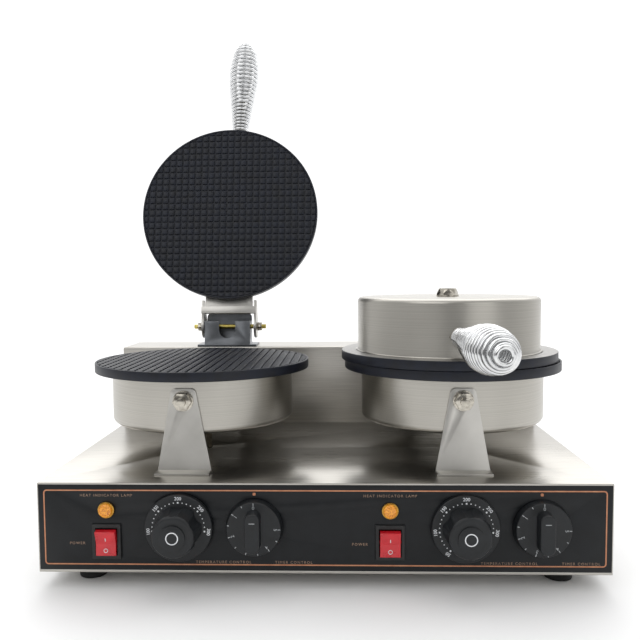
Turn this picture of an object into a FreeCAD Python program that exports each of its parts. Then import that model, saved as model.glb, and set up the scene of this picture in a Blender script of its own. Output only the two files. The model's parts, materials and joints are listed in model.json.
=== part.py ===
"""Double waffle cone maker: a long steel base that carries two hinged round baking heads.

Every piece is a separate solid and is written to parts/NODE.step, in millimetres.
The machine is laid out with X = 0 on its centre line, Y = 0 on the front face and
Z = 0 on the floor. At the end it is moved along Y, so that the origin is the bottom
centre of everything at rest: the left lid open and the right lid closed.
"""
import FreeCAD, Part
import math
import os

os.makedirs("parts", exist_ok=True)
V = FreeCAD.Vector
X_AXIS = V(1, 0, 0)
Y_AXIS = V(0, 1, 0)
Z_AXIS = V(0, 0, 1)
TINY = 0.5                      # how far a cutting tool runs past the face that it cuts

# ---------------------------------------------------------------- driving dimensions
# The sizes that most places follow from
base_w = 500.0
base_h = 80.0
plate_r = 109.0                 # of the round baking plates

# Base
sheet = 1.2                     # stainless sheet of the covers
foot_h = 15.0
foot_r = 13.5
foot_inset_x = 37.0
foot_inset_y = 32.0
riser_d = 65.0                  # raised box along the back, which carries the hinges
riser_clear = 14.0              # between the plates and the riser
plate_front = 19.0              # the plates' front edge, behind the front face
plate_z = 94.0                  # baking face of the lower plate, above the base
riser_below = 0.5               # top of the riser, below that face
fold_r = 1.0                    # outer radius of the folded long edges
flange_w = 20.0                 # flanges that the rear panel is screwed to

# Front fascia and what stands on it
fascia_t = 1.5
fascia_top_edge = 1.5           # steel left showing above the fascia
fascia_bottom_edge = 2.2
fascia_side_edge = 0.8
set_in = 1.0                    # each set of controls, inwards from the middle of its half
lamp_dx = -65.1
knob_dx = -0.5
timer_dx = 65.0
lamp_rise = 16.0                # above the middle line of the base's front
knob_rise = 1.5
rocker_below = 12.0             # below that line
pan_clear = 4.7                 # between the pan's rim and the switch bodies over it
hole_clear = 0.4                # round a body that passes through the front wall

lamp_flange_r = 7.2
lamp_flange_t = 1.4
lamp_barrel_r = 5.0
lamp_barrel_len = 24.0
lens_r = 6.0
lens_t = 3.2

rocker_w = 17.7
rocker_h = 22.4
bezel_side = 3.9                # of the bezel, beside the rocker
bezel_end = 4.3                 # and past its ends
bezel_t = 2.0
rocker_gap = 0.9
rocker_pivot_y = 2.0            # of its pins, behind the fascia's face
rocker_body_len = 22.0
rocker_crown = 5.4              # how far the ends of the rocker stand out when level
rocker_waist = 3.6              # and its middle
rocker_tilt = 8.0               # degrees each way from level
rocker_pin_r = 1.5
running_gap = 0.06              # radial, of every shaft and pin that turns

shaft_r = 3.0
panel_gap = 1.0                 # between a knob and the fascia
dial_r = 29.5
dial_t = 5.0
grip_r = 20.5
grip_top_r = 18.0
grip_h = 22.0
grip_lobes = 6
hub_r = 10.8
hub_t = 1.6
timer_r = 25.0
timer_t = 7.0
timer_bar_w = 13.0
timer_bar_h = 12.0
timer_bar_share = 0.69          # of the plate's radius that half of the bar reaches
thermostat_size = (38.0, 28.0, 34.0)
timer_size = (46.0, 34.0, 42.0)
bushing_r = 5.0

# Baking heads
plate_part = 19.1               # from a plate's edge to the middle of the pair
heads_middle = 1.9              # the pair stands this far right of the base's middle
plate_t = 9.0
plate_gap = 0.3                 # between the two baking faces when closed
plate_chamfer = 0.6
plate_over = 17.0               # of the plate, past the housing
housing_h = 51.0
cap_h = 54.0
shell_t = 1.0
shell_edge_r = 4.0
cap_foot_w = 2.6                # flange round the foot of the cap
heater_in = 30.0                # middle of the element, inside the housing's wall
heater_w = 14.0
heater_h = 8.0
stud_r = 5.0
post_r = 7.0                    # pipe that takes the heater wires into the base
post_bore = 5.5
cap_nut_af = 19.0
cap_nut_h = 7.0
cap_washer_r = 11.5
cap_washer_t = 1.2

# Brackets that hold the lower housing off the base
bracket_in = 0.9                # each bracket, inwards from its head
bracket_t = 2.0
bracket_top_w = 22.0
bracket_foot_w = 50.0
bracket_below = 17.0            # top of the bracket, below the baking face
bracket_foot_d = 15.0
bracket_corner_r = 5.0
bolt_drop = 11.0                # of the bolt, below the bracket's top
bolt_r = 4.0
bolt_af = 15.0
bolt_nut_h = 6.0
bolt_washer_r = 9.5
bolt_washer_t = 1.6
bolt_tip = 3.0
bolt_inner = 8.0

# Hinges
hinge_in = 3.4                  # each hinge, inwards from its head
axle_back = 17.0                # behind the front face of the riser
axle_up = 23.5                  # above the top of the riser
axle_r = 2.75
axle_tip = 5.0
hinge_t = 2.5
hinge_w = 56.0
hinge_flange_out = 8.0          # of the flange, past each cheek
hinge_flange_d = 33.0
hinge_wall_u = 9.0              # back of the notched wall, in front of the axle
hinge_top = 7.0                 # top of the wall, above the axle
hinge_back = 12.0               # outer face of the back wall, behind the axle
hinge_back_top = 16.0           # top of the back wall, above the axle
notch_r = 10.0
notch_drop = 13.6               # bottom of the notch, below the axle
arm_t = 3.0
arm_clear = 2.6                 # beside the base's cheeks
arm_eye_r = 14.0
arm_bar_u = 14.0                # crossbar, in front of the axle
arm_bar_d = 8.5
arm_bar_drop = 2.8
arm_tongue_out = 1.0            # of the tongue, past each cheek of the hinge
arm_plate_overlap = 12.0        # of the tongue, over the rim of the upper plate
lid_slide = {"left": 2.2, "right": 0.0}   # how far each lid stands to the right in its hinge
nut_af = 10.0
nut_h = 5.5
nut_clear = 0.5
screw_r = 2.5
screw_head_r = 4.5
screw_head_h = 2.6

# Handles
handle_z = 20.0                 # above the top of the upper plate
handle_len = 150.0
handle_lean = 2.6               # degrees towards +X
handle_dx = {"left": 5.0, "right": -3.7}  # where each handle leaves its cap, from the middle
handle_nut_af = 15.0
handle_nut_h = 5.0
rod_r = 4.0
rod_len = 70.0
wire_d = 3.8
spring_start = 7.0              # from the cap's wall, past the nut
spring_neck_r = 9.8
spring_belly_r = 19.6
spring_end_r = 8.0
spring_grip_len = 12.0          # of the neck that grips the rod

# Rear
gland_r = 9.0
gland_bore = 5.0
gland_out = 18.0
gland_in = 12.0
gland_below = 12.0              # below the middle line of the base
gland_inset = 60.0              # from the base's side
louvre_x = 83.0                 # middle of each louvre field
wire_way_w = 250.0              # opening between the base and the riser
wire_way_margin = 16.25
louvre_w = 46.0
louvre_h = 3.0
louvre_pitch = 10.0
louvre_rows = 4

# Lids: degrees that each one is open at rest
lid_open = {"left": 103.0, "right": 0.0}
side_sign = {"left": -1.0, "right": 1.0}

# ---------------------------------------------------------------- levels that follow
base_bottom = foot_h
base_top = base_bottom + base_h
base_middle = base_bottom + base_h / 2
head_x = plate_r + plate_part                     # each head, from the middle of the pair
head_y = plate_front + plate_r
bracket_x = head_x - bracket_in
hinge_x = head_x - hinge_in
housing_r = plate_r - plate_over
heater_r = housing_r - heater_in
riser_y = head_y + plate_r + riser_clear
base_d = riser_y + riser_d
riser_top = base_top + plate_z - riser_below
wall_back = fascia_t + sheet                      # inner face of the front wall
lower_top = base_top + plate_z
lower_bottom = lower_top - plate_t
housing_bottom = lower_bottom - housing_h
upper_bottom = lower_top + plate_gap
upper_top = upper_bottom + plate_t
cap_top = upper_top + cap_h
axle_y = riser_y + axle_back
axle_z = riser_top + axle_up
set_x = base_w / 4 - set_in
lamp_z = base_middle + lamp_rise
knob_z = base_middle + knob_rise
rocker_z = base_middle - rocker_below
bezel_w = rocker_w + 2 * bezel_side
bezel_h = rocker_h + 2 * bezel_end
rocker_body_bottom = rocker_z - rocker_h / 2 - rocker_gap - sheet
pan_rim_top = rocker_body_bottom - pan_clear
gland_x = base_w / 2 - gland_inset
gland_z = base_middle - gland_below
bracket_top = base_top + plate_z - bracket_below
hinge_flange_w = hinge_w + 2 * hinge_flange_out
arm_tongue_w = hinge_w + 2 * arm_tongue_out
arm_w = hinge_w + 2 * (arm_clear + arm_t)
axle_half = arm_w / 2 + nut_clear + nut_h + axle_tip
bolt_z = bracket_top - bolt_drop
head_front = head_y - housing_r
head_back = head_y + housing_r

nodes = {}


def add(name, shape):
    """Keep a sub-part under the name of its file."""
    nodes[name] = shape


def box(x0, x1, y0, y1, z0, z1):
    """A box between two corners."""
    return Part.makeBox(x1 - x0, y1 - y0, z1 - z0, V(x0, y0, z0))


def rod(radius, start, length, axis):
    """A round bar that starts at a point."""
    return Part.makeCylinder(radius, length, start, axis)


def prism(points, axis_vector):
    """A flat outline of straight edges, pushed along a vector."""
    wire = Part.makePolygon([V(*p) for p in points] + [V(*points[0])])
    return Part.Face(wire).extrude(axis_vector)


def hexagon(flat, start, length, axis):
    """A hexagonal nut blank; one of its corners points up or sideways."""
    corner = flat / math.sqrt(3)
    side = Z_AXIS.cross(axis) if abs(axis.z) < 0.5 else X_AXIS
    up = axis.cross(side)
    points = []
    for step in range(6):
        angle = math.radians(60 * step)
        points.append(start + side * (corner * math.cos(angle)) + up * (corner * math.sin(angle)))
    face = Part.Face(Part.makePolygon(points + [points[0]]))
    return face.extrude(axis * length)


def edges_where(shape, test):
    """The edges whose middle point passes a test."""
    return [edge for edge in shape.Edges if test(edge.CenterOfMass)]


def round_edges(shape, radius, test):
    """Round the chosen edges."""
    return shape.makeFillet(radius, edges_where(shape, test))


def fuse(shapes):
    """Join overlapping or touching shapes into one solid."""
    joined = shapes[0]
    for shape in shapes[1:]:
        joined = joined.fuse(shape)
    return joined.removeSplitter()


# ---------------------------------------------------------------- base
def front_holes(clear):
    """Tools that cut the fascia and the front wall for both sets of controls."""
    depth = wall_back + 2 * TINY
    tools = []
    for sign in side_sign.values():
        x0 = sign * set_x
        start = -TINY
        tools.append(rod(lamp_barrel_r + clear, V(x0 + lamp_dx, start, lamp_z), depth, Y_AXIS))
        for dx in (knob_dx, timer_dx):
            tools.append(rod(bushing_r + clear, V(x0 + dx, start, knob_z), depth, Y_AXIS))
        half_w = rocker_w / 2 + rocker_gap + sheet + clear
        half_h = rocker_h / 2 + rocker_gap + sheet + clear
        xc = x0 + lamp_dx
        tools.append(box(xc - half_w, xc + half_w, start, start + depth,
                         rocker_z - half_h, rocker_z + half_h))
    return Part.makeCompound(tools)


def make_base_cover():
    half = base_w / 2
    back = base_d - sheet
    outer = box(-half, half, 0, back, base_bottom, base_top)
    outer = round_edges(outer, fold_r, lambda c: c.z > base_top - TINY and abs(c.x) > half - TINY)
    inner = box(-half + sheet, half - sheet, wall_back, back - sheet,
                base_bottom - TINY, base_top - sheet)
    rear_way = box(-half + flange_w, half - flange_w, wall_back, back + TINY,
                   base_bottom - TINY, base_top - flange_w)
    recess = box(-half + fascia_side_edge, half - fascia_side_edge, -TINY, fascia_t,
                 base_bottom + fascia_bottom_edge, base_top - fascia_top_edge)
    cover = outer.cut(inner).cut(rear_way).cut(recess).cut(front_holes(hole_clear))
    cover = cover.cut(case_screw_holes())
    for sign in side_sign.values():
        hx = heads_middle + sign * head_x
        cover = cover.cut(rod(post_r + hole_clear, V(hx, head_y, base_top - 2 * sheet),
                              3 * sheet, Z_AXIS))
    wire_way = box(-wire_way_w / 2, wire_way_w / 2, riser_y + wire_way_margin, back - wire_way_margin,
                   base_top - 2 * sheet, base_top + TINY)
    return cover.cut(wire_way)


def make_fascia():
    half = base_w / 2 - fascia_side_edge
    plate = box(-half, half, 0, fascia_t, base_bottom + fascia_bottom_edge,
                base_top - fascia_top_edge)
    return plate.cut(front_holes(hole_clear))


def foot_places():
    """The four feet, in plan."""
    x = base_w / 2 - foot_inset_x
    return [(sx * x, y) for sx in (-1, 1) for y in (foot_inset_y, base_d - foot_inset_y)]


def make_base_pan():
    """Flat bottom with an upturned rim, air slots and holes for the foot screws."""
    half = base_w / 2 - sheet
    y0 = wall_back
    y1 = base_d - 2 * sheet
    pan = box(-half, half, y0, y1, base_bottom, pan_rim_top)
    pan = pan.cut(box(-half + sheet, half - sheet, y0 + sheet, y1 - sheet,
                      base_bottom + sheet, pan_rim_top + TINY))
    tools = []
    for x, y in foot_places():
        tools.append(rod(screw_r + hole_clear, V(x, y, base_bottom - TINY), 2 * sheet, Z_AXIS))
    for sign in side_sign.values():
        for row in range(-2, 3):
            y = head_y + row * 3 * louvre_pitch
            tools.append(box(sign * bracket_x - louvre_w, sign * bracket_x + louvre_w,
                             y - louvre_h, y + louvre_h, base_bottom - TINY, base_bottom + 2 * sheet))
    return pan.cut(Part.makeCompound(tools))


def make_riser_cover():
    half = base_w / 2
    back = base_d - sheet
    outer = box(-half, half, riser_y, back, base_top, riser_top)
    outer = round_edges(outer, 2 * fold_r, lambda c: c.z > riser_top - TINY and c.y < back - TINY)
    inner = box(-half + sheet, half - sheet, riser_y + sheet, back - sheet,
                base_top - TINY, riser_top - sheet)
    rear_way = box(-half + flange_w, half - flange_w, riser_y + sheet, back + TINY,
                   base_top - TINY, riser_top - flange_w)
    return outer.cut(inner).cut(rear_way).cut(case_screw_holes())


def make_rear_panel():
    half = base_w / 2
    panel = box(-half, half, base_d - sheet, base_d, base_bottom, riser_top)
    tools = [rod(gland_r * 0.75 + hole_clear, V(gland_x, base_d - 2 * sheet, gland_z),
                 3 * sheet, Y_AXIS)]
    for sign in side_sign.values():
        for row in range(louvre_rows):
            z = base_middle + (row - (louvre_rows - 1) / 2) * louvre_pitch
            for column in (-1, 0, 1):
                xc = sign * louvre_x + column * 1.25 * louvre_w / 2
                tools.append(box(xc - louvre_w / 4, xc + louvre_w / 4, base_d - 2 * sheet,
                                 base_d + sheet, z - louvre_h / 2, z + louvre_h / 2))
    return panel.cut(Part.makeCompound(tools)).cut(case_screw_holes())


def case_screw_places():
    """Six screws that hold the rear panel, in the plane of the panel."""
    x = base_w / 2 - flange_w / 2 - sheet / 2
    rows = (riser_top - flange_w / 2, base_top - flange_w / 2)
    return [(column * x, z) for column in (-1, 0, 1) for z in rows]


def case_screw_holes():
    """Tools for the screw holes through the rear panel and the flanges."""
    return Part.makeCompound([rod(screw_r, V(x, base_d - 3 * sheet, z), 4 * sheet, Y_AXIS)
                              for x, z in case_screw_places()])


def make_case_screws():
    screws = []
    for x, z in case_screw_places():
        head = rod(screw_head_r, V(x, base_d, z), screw_head_h, Y_AXIS)
        head = round_edges(head, screw_head_h / 2, lambda c: c.y > base_d + screw_head_h - TINY)
        shank = rod(screw_r, V(x, base_d - 3 * screw_r, z), 3 * screw_r, Y_AXIS)
        screws.append(fuse([head, shank]))
    return Part.makeCompound(screws)


def make_feet():
    feet = []
    for x, y in foot_places():
        foot = Part.makeCone(foot_r * 0.92, foot_r, foot_h, V(x, y, 0), Z_AXIS)
        bore = rod(screw_r, V(x, y, foot_h / 3), foot_h, Z_AXIS)
        feet.append(foot.cut(bore))
    return Part.makeCompound(feet)


def make_foot_screws():
    screws = []
    for x, y in foot_places():
        shank = rod(screw_r, V(x, y, foot_h / 2), foot_h / 2 + sheet, Z_AXIS)
        head = rod(screw_head_r, V(x, y, base_bottom + sheet), screw_head_h, Z_AXIS)
        screws.append(fuse([shank, head]))
    return Part.makeCompound(screws)


def make_gland():
    """Cable gland through the rear panel: a stepped sleeve with a six-sided collar."""
    z = gland_z
    outer = rod(gland_r * 0.75, V(gland_x, base_d - gland_in, z), gland_in + gland_out, Y_AXIS)
    collar = hexagon(2 * gland_r, V(gland_x, base_d, z), gland_out / 3, Y_AXIS)
    dome = rod(gland_r * 0.9, V(gland_x, base_d + gland_out / 3, z), gland_out / 2, Y_AXIS)
    lock_nut = hexagon(2 * gland_r, V(gland_x, base_d - sheet - gland_in / 2, z),
                       gland_in / 2, Y_AXIS)
    body = fuse([outer, collar, dome, lock_nut])
    bore = rod(gland_bore, V(gland_x, base_d - gland_in - TINY, z),
               gland_in + gland_out + 2 * TINY, Y_AXIS)
    return body.cut(bore)


def make_terminal_block():
    """Five-way block on the pan, near the gland."""
    ways = 5
    pitch = 12.0
    length = ways * pitch
    depth = 20.0
    height = 16.0
    x0 = gland_x - length / 2
    y0 = base_d - sheet - 5 * gland_in
    z0 = base_bottom + sheet
    block = box(x0, x0 + length, y0, y0 + depth, z0, z0 + height)
    for way in range(ways):
        xc = x0 + (way + 0.5) * pitch
        block = block.cut(rod(pitch / 4, V(xc, y0 + depth / 2, z0 + height / 2), height, Z_AXIS))
    return block


# ---------------------------------------------------------------- controls
def make_lamp_body(x):
    flange = rod(lamp_flange_r, V(x, -lamp_flange_t, lamp_z), lamp_flange_t, Y_AXIS)
    barrel = rod(lamp_barrel_r, V(x, -lamp_flange_t, lamp_z), lamp_barrel_len, Y_AXIS)
    return fuse([flange, barrel])


def make_lens(x):
    lens = rod(lens_r, V(x, -lamp_flange_t - lens_t, lamp_z), lens_t, Y_AXIS)
    return round_edges(lens, lens_t * 0.6, lambda c: c.y < -lamp_flange_t - lens_t + TINY / 2)


def make_rocker_housing(x):
    """Bezel on the fascia, with the open switch body behind it."""
    half_w = rocker_w / 2 + rocker_gap
    half_h = rocker_h / 2 + rocker_gap
    bezel = box(x - bezel_w / 2, x + bezel_w / 2, -bezel_t, 0,
                rocker_z - bezel_h / 2, rocker_z + bezel_h / 2)
    bezel = round_edges(bezel, bezel_t / 2, lambda c: c.y < -bezel_t + TINY)
    body = box(x - half_w - sheet, x + half_w + sheet, -TINY, rocker_body_len,
               rocker_z - half_h - sheet, rocker_z + half_h + sheet)
    well = box(x - half_w, x + half_w, -bezel_t - TINY, rocker_body_len - 2 * sheet,
               rocker_z - half_h, rocker_z + half_h)
    pin_hole = rod(rocker_pin_r + running_gap, V(x - half_w - sheet - TINY, rocker_pivot_y, rocker_z),
                   2 * (half_w + sheet + TINY), X_AXIS)
    return fuse([bezel, body]).cut(well).cut(pin_hole)


def make_rocker(x):
    """Rocker with its lower end pressed in: it turns about the pins in its sides."""
    half = rocker_h / 2
    root = rocker_pivot_y + rocker_pin_r + sheet
    outline = [(0, -rocker_crown, half), (0, -rocker_waist, 0), (0, -rocker_crown, -half),
               (0, 0, -half), (0, root, -half / 2), (0, root, half / 2), (0, 0, half)]
    points = [(x - rocker_w / 2, y, rocker_z + z) for _, y, z in outline]
    body = prism(points, V(rocker_w, 0, 0))
    body = round_edges(body, 0.5, lambda c: c.y < -rocker_waist + TINY)
    reach = rocker_w / 2 + rocker_gap + sheet * 0.8
    pins = rod(rocker_pin_r, V(x - reach, rocker_pivot_y, rocker_z), 2 * reach, X_AXIS)
    rocker = fuse([body, pins])
    rocker.rotate(V(x, rocker_pivot_y, rocker_z), X_AXIS, rocker_tilt)
    return rocker


def make_control_body(x, size, back_bush):
    """Switch body behind the front wall, with a bush that comes out through it."""
    width, depth, height = size
    body = box(x - width / 2, x + width / 2, wall_back, wall_back + depth,
               knob_z - height / 2, knob_z + height / 2)
    bush = rod(bushing_r, V(x, back_bush, knob_z), wall_back - back_bush + TINY, Y_AXIS)
    bore = rod(shaft_r + running_gap, V(x, back_bush - TINY, knob_z),
               wall_back + depth / 2 - back_bush + TINY, Y_AXIS)
    return fuse([body, bush]).cut(bore)


def make_shaft(x, knob_depth):
    """Spindle from the switch body into the knob."""
    start = -panel_gap - knob_depth
    length = wall_back + thermostat_size[1] / 2 - start - 2 * TINY
    return rod(shaft_r, V(x, start, knob_z), length, Y_AXIS)


def knob_bore(x, knob_depth):
    """The blind hole that seats a knob on its spindle."""
    return rod(shaft_r, V(x, -panel_gap - knob_depth, knob_z), knob_depth + TINY, Y_AXIS)


def make_thermostat_knob(x):
    """Dial skirt with a lobed grip and a raised hub."""
    front = -panel_gap - dial_t
    skirt = rod(dial_r, V(x, front, knob_z), dial_t, Y_AXIS)
    skirt = round_edges(skirt, 1.2, lambda c: c.y < front + TINY)
    grip = Part.makeCone(grip_top_r, grip_r, grip_h, V(x, front - grip_h, knob_z), Y_AXIS)
    grip = round_edges(grip, 2.5, lambda c: c.y < front - grip_h + TINY)
    tools = []
    lobe_r = grip_r / 2
    for lobe in range(grip_lobes):
        angle = 2 * math.pi * (lobe + 0.5) / grip_lobes
        reach = grip_r + lobe_r * 0.72
        centre = V(x + reach * math.cos(angle), front - grip_h - TINY, knob_z + reach * math.sin(angle))
        tools.append(rod(lobe_r, centre, grip_h + TINY, Y_AXIS))
    grip = grip.cut(Part.makeCompound(tools))
    hub = rod(hub_r, V(x, front - grip_h - hub_t, knob_z), grip_h + hub_t, Y_AXIS)
    return fuse([skirt, grip, hub]).cut(knob_bore(x, dial_t + grip_h / 2))


def make_timer_knob(x):
    """Round plate with a straight finger bar across it."""
    front = -panel_gap - timer_t
    disc = Part.makeCone(timer_r * 0.94, timer_r, timer_t, V(x, front, knob_z), Y_AXIS)
    disc = round_edges(disc, 1.0, lambda c: c.y < front + TINY)
    half_bar = timer_r * timer_bar_share
    bar = box(x - timer_bar_w / 2, x + timer_bar_w / 2, front - timer_bar_h, front + TINY,
              knob_z - half_bar, knob_z + half_bar)
    bar = round_edges(bar, timer_bar_w * 0.45,
                      lambda c: abs(abs(c.x - x) - timer_bar_w / 2) < TINY and
                      abs(abs(c.z - knob_z) - half_bar) < TINY)
    bar = round_edges(bar, 1.5, lambda c: c.y < front - timer_bar_h + TINY)
    return fuse([disc, bar]).cut(knob_bore(x, timer_t + timer_bar_h / 2))


# ---------------------------------------------------------------- heads
def make_shell(x, bottom, height, closed_up):
    """A thin round cup with a rounded outer edge; it opens up or down."""
    cup = rod(housing_r, V(x, head_y, bottom), height, Z_AXIS)
    level = bottom + height if closed_up else bottom
    cup = round_edges(cup, shell_edge_r, lambda c: abs(c.z - level) < TINY)
    inner_bottom = bottom - TINY if closed_up else bottom + shell_t
    inner = rod(housing_r - shell_t, V(x, head_y, inner_bottom), height - shell_t + TINY, Z_AXIS)
    inner_level = bottom + height - shell_t if closed_up else bottom + shell_t
    inner = round_edges(inner, shell_edge_r - shell_t, lambda c: abs(c.z - inner_level) < TINY / 5)
    return cup.cut(inner)


def make_lower_housing(x, bolt_x):
    shell = make_shell(x, housing_bottom, housing_h, False)
    tools = [rod(post_r, V(x, head_y, housing_bottom - TINY), 2 * shell_t + TINY, Z_AXIS)]
    for start in (head_front - TINY, head_back - 2 * shell_t):
        tools.append(rod(bolt_r, V(bolt_x, start, bolt_z), 3 * shell_t, Y_AXIS))
    return shell.cut(Part.makeCompound(tools))


def make_lower_plate(x):
    """Round baking plate that covers the housing, with an edge broken at the rim."""
    plate = rod(plate_r, V(x, head_y, lower_bottom), plate_t, Z_AXIS)
    return plate.makeChamfer(plate_chamfer, edges_where(plate, lambda c: c.z > lower_top - TINY))


def make_upper_plate(x):
    plate = rod(plate_r, V(x, head_y, upper_bottom), plate_t, Z_AXIS)
    plate = plate.makeChamfer(plate_chamfer, edges_where(plate, lambda c: c.z < upper_bottom + TINY))
    return plate.cut(arm_screw_shanks(x))


def make_heater(x, bottom):
    """Flat ring element with two terminal pins."""
    ring = rod(heater_r + heater_w / 2, V(x, head_y, bottom), heater_h, Z_AXIS)
    return ring.cut(rod(heater_r - heater_w / 2, V(x, head_y, bottom - TINY),
                        heater_h + 2 * TINY, Z_AXIS))


def make_post(x):
    """Wire pipe from the housing down into the base, with a shoulder under the housing."""
    pipe = rod(post_r, V(x, head_y, base_top - 8 * sheet),
               housing_bottom + 4 * shell_t - base_top + 8 * sheet, Z_AXIS)
    shoulder = rod(1.6 * post_r, V(x, head_y, housing_bottom - 2 * sheet), 2 * sheet, Z_AXIS)
    bore = rod(post_bore, V(x, head_y, base_top - 9 * sheet), housing_bottom, Z_AXIS)
    return fuse([pipe, shoulder]).cut(bore)


def make_bracket(x, facing):
    """Tapered upright against the housing, folded outwards into a foot.

    facing is -1 for the front bracket and 1 for the rear one.
    """
    inner = head_y + facing * housing_r
    outer = inner + facing * bracket_t
    top = bracket_top
    points = [(x - bracket_foot_w / 2, inner, base_top), (x + bracket_foot_w / 2, inner, base_top),
              (x + bracket_top_w / 2, inner, top), (x - bracket_top_w / 2, inner, top)]
    upright = prism(points, V(0, facing * bracket_t, 0))
    upright = round_edges(upright, bracket_corner_r,
                          lambda c: c.z > top - TINY and abs(c.x - x) > bracket_top_w / 2 - TINY)
    reach = inner + facing * bracket_foot_d
    foot = box(x - bracket_foot_w / 2, x + bracket_foot_w / 2, min(outer, reach), max(outer, reach),
               base_top, base_top + bracket_t)
    bracket = fuse([upright, foot])
    return bracket.cut(rod(bolt_r, V(x, inner - 2 * bracket_t, bolt_z), 4 * bracket_t, Y_AXIS))


def make_bracket_bolt(x, facing):
    """Stud with a washer and a nut outside the bracket."""
    axis = V(0, facing, 0)
    inner = head_y + facing * housing_r
    face = inner + facing * bracket_t
    stud = rod(bolt_r, V(x, inner - facing * bolt_inner, bolt_z),
               bolt_inner + bracket_t + bolt_washer_t + bolt_nut_h + bolt_tip, axis)
    washer = rod(bolt_washer_r, V(x, face, bolt_z), bolt_washer_t, axis)
    nut = hexagon(bolt_af, V(x, face + facing * bolt_washer_t, bolt_z), bolt_nut_h, axis)
    return fuse([stud, washer, nut])


# ---------------------------------------------------------------- hinges and lids
def make_hinge_base(x):
    """Folded bracket on the riser: flange, notched front wall, two cheeks and a taller back wall."""
    top = axle_z + hinge_top
    wall_front = axle_y - hinge_wall_u - hinge_t
    flange_top = riser_top + hinge_t
    wall_back_y = axle_y + hinge_back
    flange = box(x - hinge_flange_w / 2, x + hinge_flange_w / 2, riser_y + 2 * fold_r,
                 riser_y + 2 * fold_r + hinge_flange_d, riser_top, flange_top)
    block = box(x - hinge_w / 2, x + hinge_w / 2, wall_front, wall_back_y, riser_top, top)
    back_wall = box(x - hinge_w / 2, x + hinge_w / 2, wall_back_y - hinge_t, wall_back_y,
                    riser_top, axle_z + hinge_back_top)
    back_wall = round_edges(back_wall, hinge_t * 2, lambda c: c.z > axle_z + hinge_back_top - TINY and
                            abs(abs(c.x - x) - hinge_w / 2) < TINY)
    inside = box(x - hinge_w / 2 + hinge_t, x + hinge_w / 2 - hinge_t, wall_front + hinge_t,
                 wall_back_y - hinge_t, flange_top, top + TINY)
    notch_z = axle_z - notch_drop + notch_r
    notch = rod(notch_r, V(x, wall_front - TINY, notch_z), hinge_t + 2 * TINY, Y_AXIS)
    slot = box(x - notch_r, x + notch_r, wall_front - TINY, wall_front + hinge_t + TINY,
               notch_z, top + TINY)
    hole = rod(axle_r, V(x - hinge_w, axle_y, axle_z), 2 * hinge_w, X_AXIS)
    return fuse([flange, block.cut(inside), back_wall]).cut(notch).cut(slot).cut(hole)


def make_axle(x):
    return rod(axle_r, V(x - axle_half, axle_y, axle_z), 2 * axle_half, X_AXIS)


def make_axle_nuts(x):
    nuts = []
    for sign in (-1, 1):
        axis = V(sign, 0, 0)
        start = V(x + sign * (arm_w / 2 + nut_clear), axle_y, axle_z)
        nut = hexagon(nut_af, start, nut_h, axis)
        nuts.append(nut.cut(rod(axle_r, start, nut_h, axis)))
    return nuts


def make_lid_arm(x):
    """Forked arm in the closed place: two cheeks on the axle, a crossbar and a tongue."""
    low = upper_top
    high = upper_top + arm_t
    tongue_end = head_y + plate_r - arm_plate_overlap
    bar_back = axle_y - arm_bar_u
    bar_front = bar_back - arm_bar_d
    cheek_front = head_y + plate_r + TINY
    tongue = box(x - arm_tongue_w / 2, x + arm_tongue_w / 2, tongue_end, bar_front + TINY, low, high)
    tongue = round_edges(tongue, bracket_corner_r,
                         lambda c: c.y < tongue_end + TINY and abs(c.x - x) > arm_tongue_w / 2 - TINY)
    bar = box(x - arm_w / 2, x + arm_w / 2, bar_front, bar_back, low - arm_bar_drop, high)
    pieces = [tongue, bar]
    for sign in (-1, 1):
        x_in = x + sign * (arm_w / 2 - arm_t)
        start = V(min(x_in, x_in + sign * arm_t), axle_y, axle_z)
        eye = rod(arm_eye_r, start, arm_t, X_AXIS)
        rise = axle_z + arm_eye_r - TINY
        points = [(start.x, axle_y, low), (start.x, axle_y, rise),
                  (start.x, cheek_front, high + 2 * arm_t), (start.x, cheek_front, low)]
        pieces.append(eye)
        pieces.append(prism(points, V(arm_t, 0, 0)))
    hole = rod(axle_r + running_gap, V(x - arm_w, axle_y, axle_z), 2 * arm_w, X_AXIS)
    return fuse(pieces).cut(hole).cut(arm_screw_shanks(x))


def arm_screw_places(x):
    """Two screws through the tongue into the rim of the upper plate."""
    y = head_y + plate_r - arm_plate_overlap / 2
    return [V(x + sign * arm_tongue_w / 4, y, upper_top + arm_t) for sign in (-1, 1)]


def arm_screw_shanks(x):
    """The threaded ends, through the tongue and into the plate's rim."""
    reach = arm_t + plate_t * 0.6
    return Part.makeCompound([rod(screw_r, place - V(0, 0, reach), reach, Z_AXIS)
                              for place in arm_screw_places(x)])


def make_arm_screws(x):
    screws = []
    for place, shank in zip(arm_screw_places(x), arm_screw_shanks(x).Solids):
        head = rod(screw_head_r, place, screw_head_h, Z_AXIS)
        head = round_edges(head, screw_head_h / 2,
                           lambda c: c.z > upper_top + arm_t + screw_head_h - TINY)
        screws.append(fuse([head, shank]))
    return Part.makeCompound(screws)


def handle_point(x):
    """Where the handle's axis meets the front wall of the cap."""
    return V(x, head_front, upper_top + handle_z)


def lean(shape, x):
    """Turn a handle piece sideways about the point where it leaves the cap."""
    shape.rotate(handle_point(x), Z_AXIS, handle_lean)
    return shape


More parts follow.
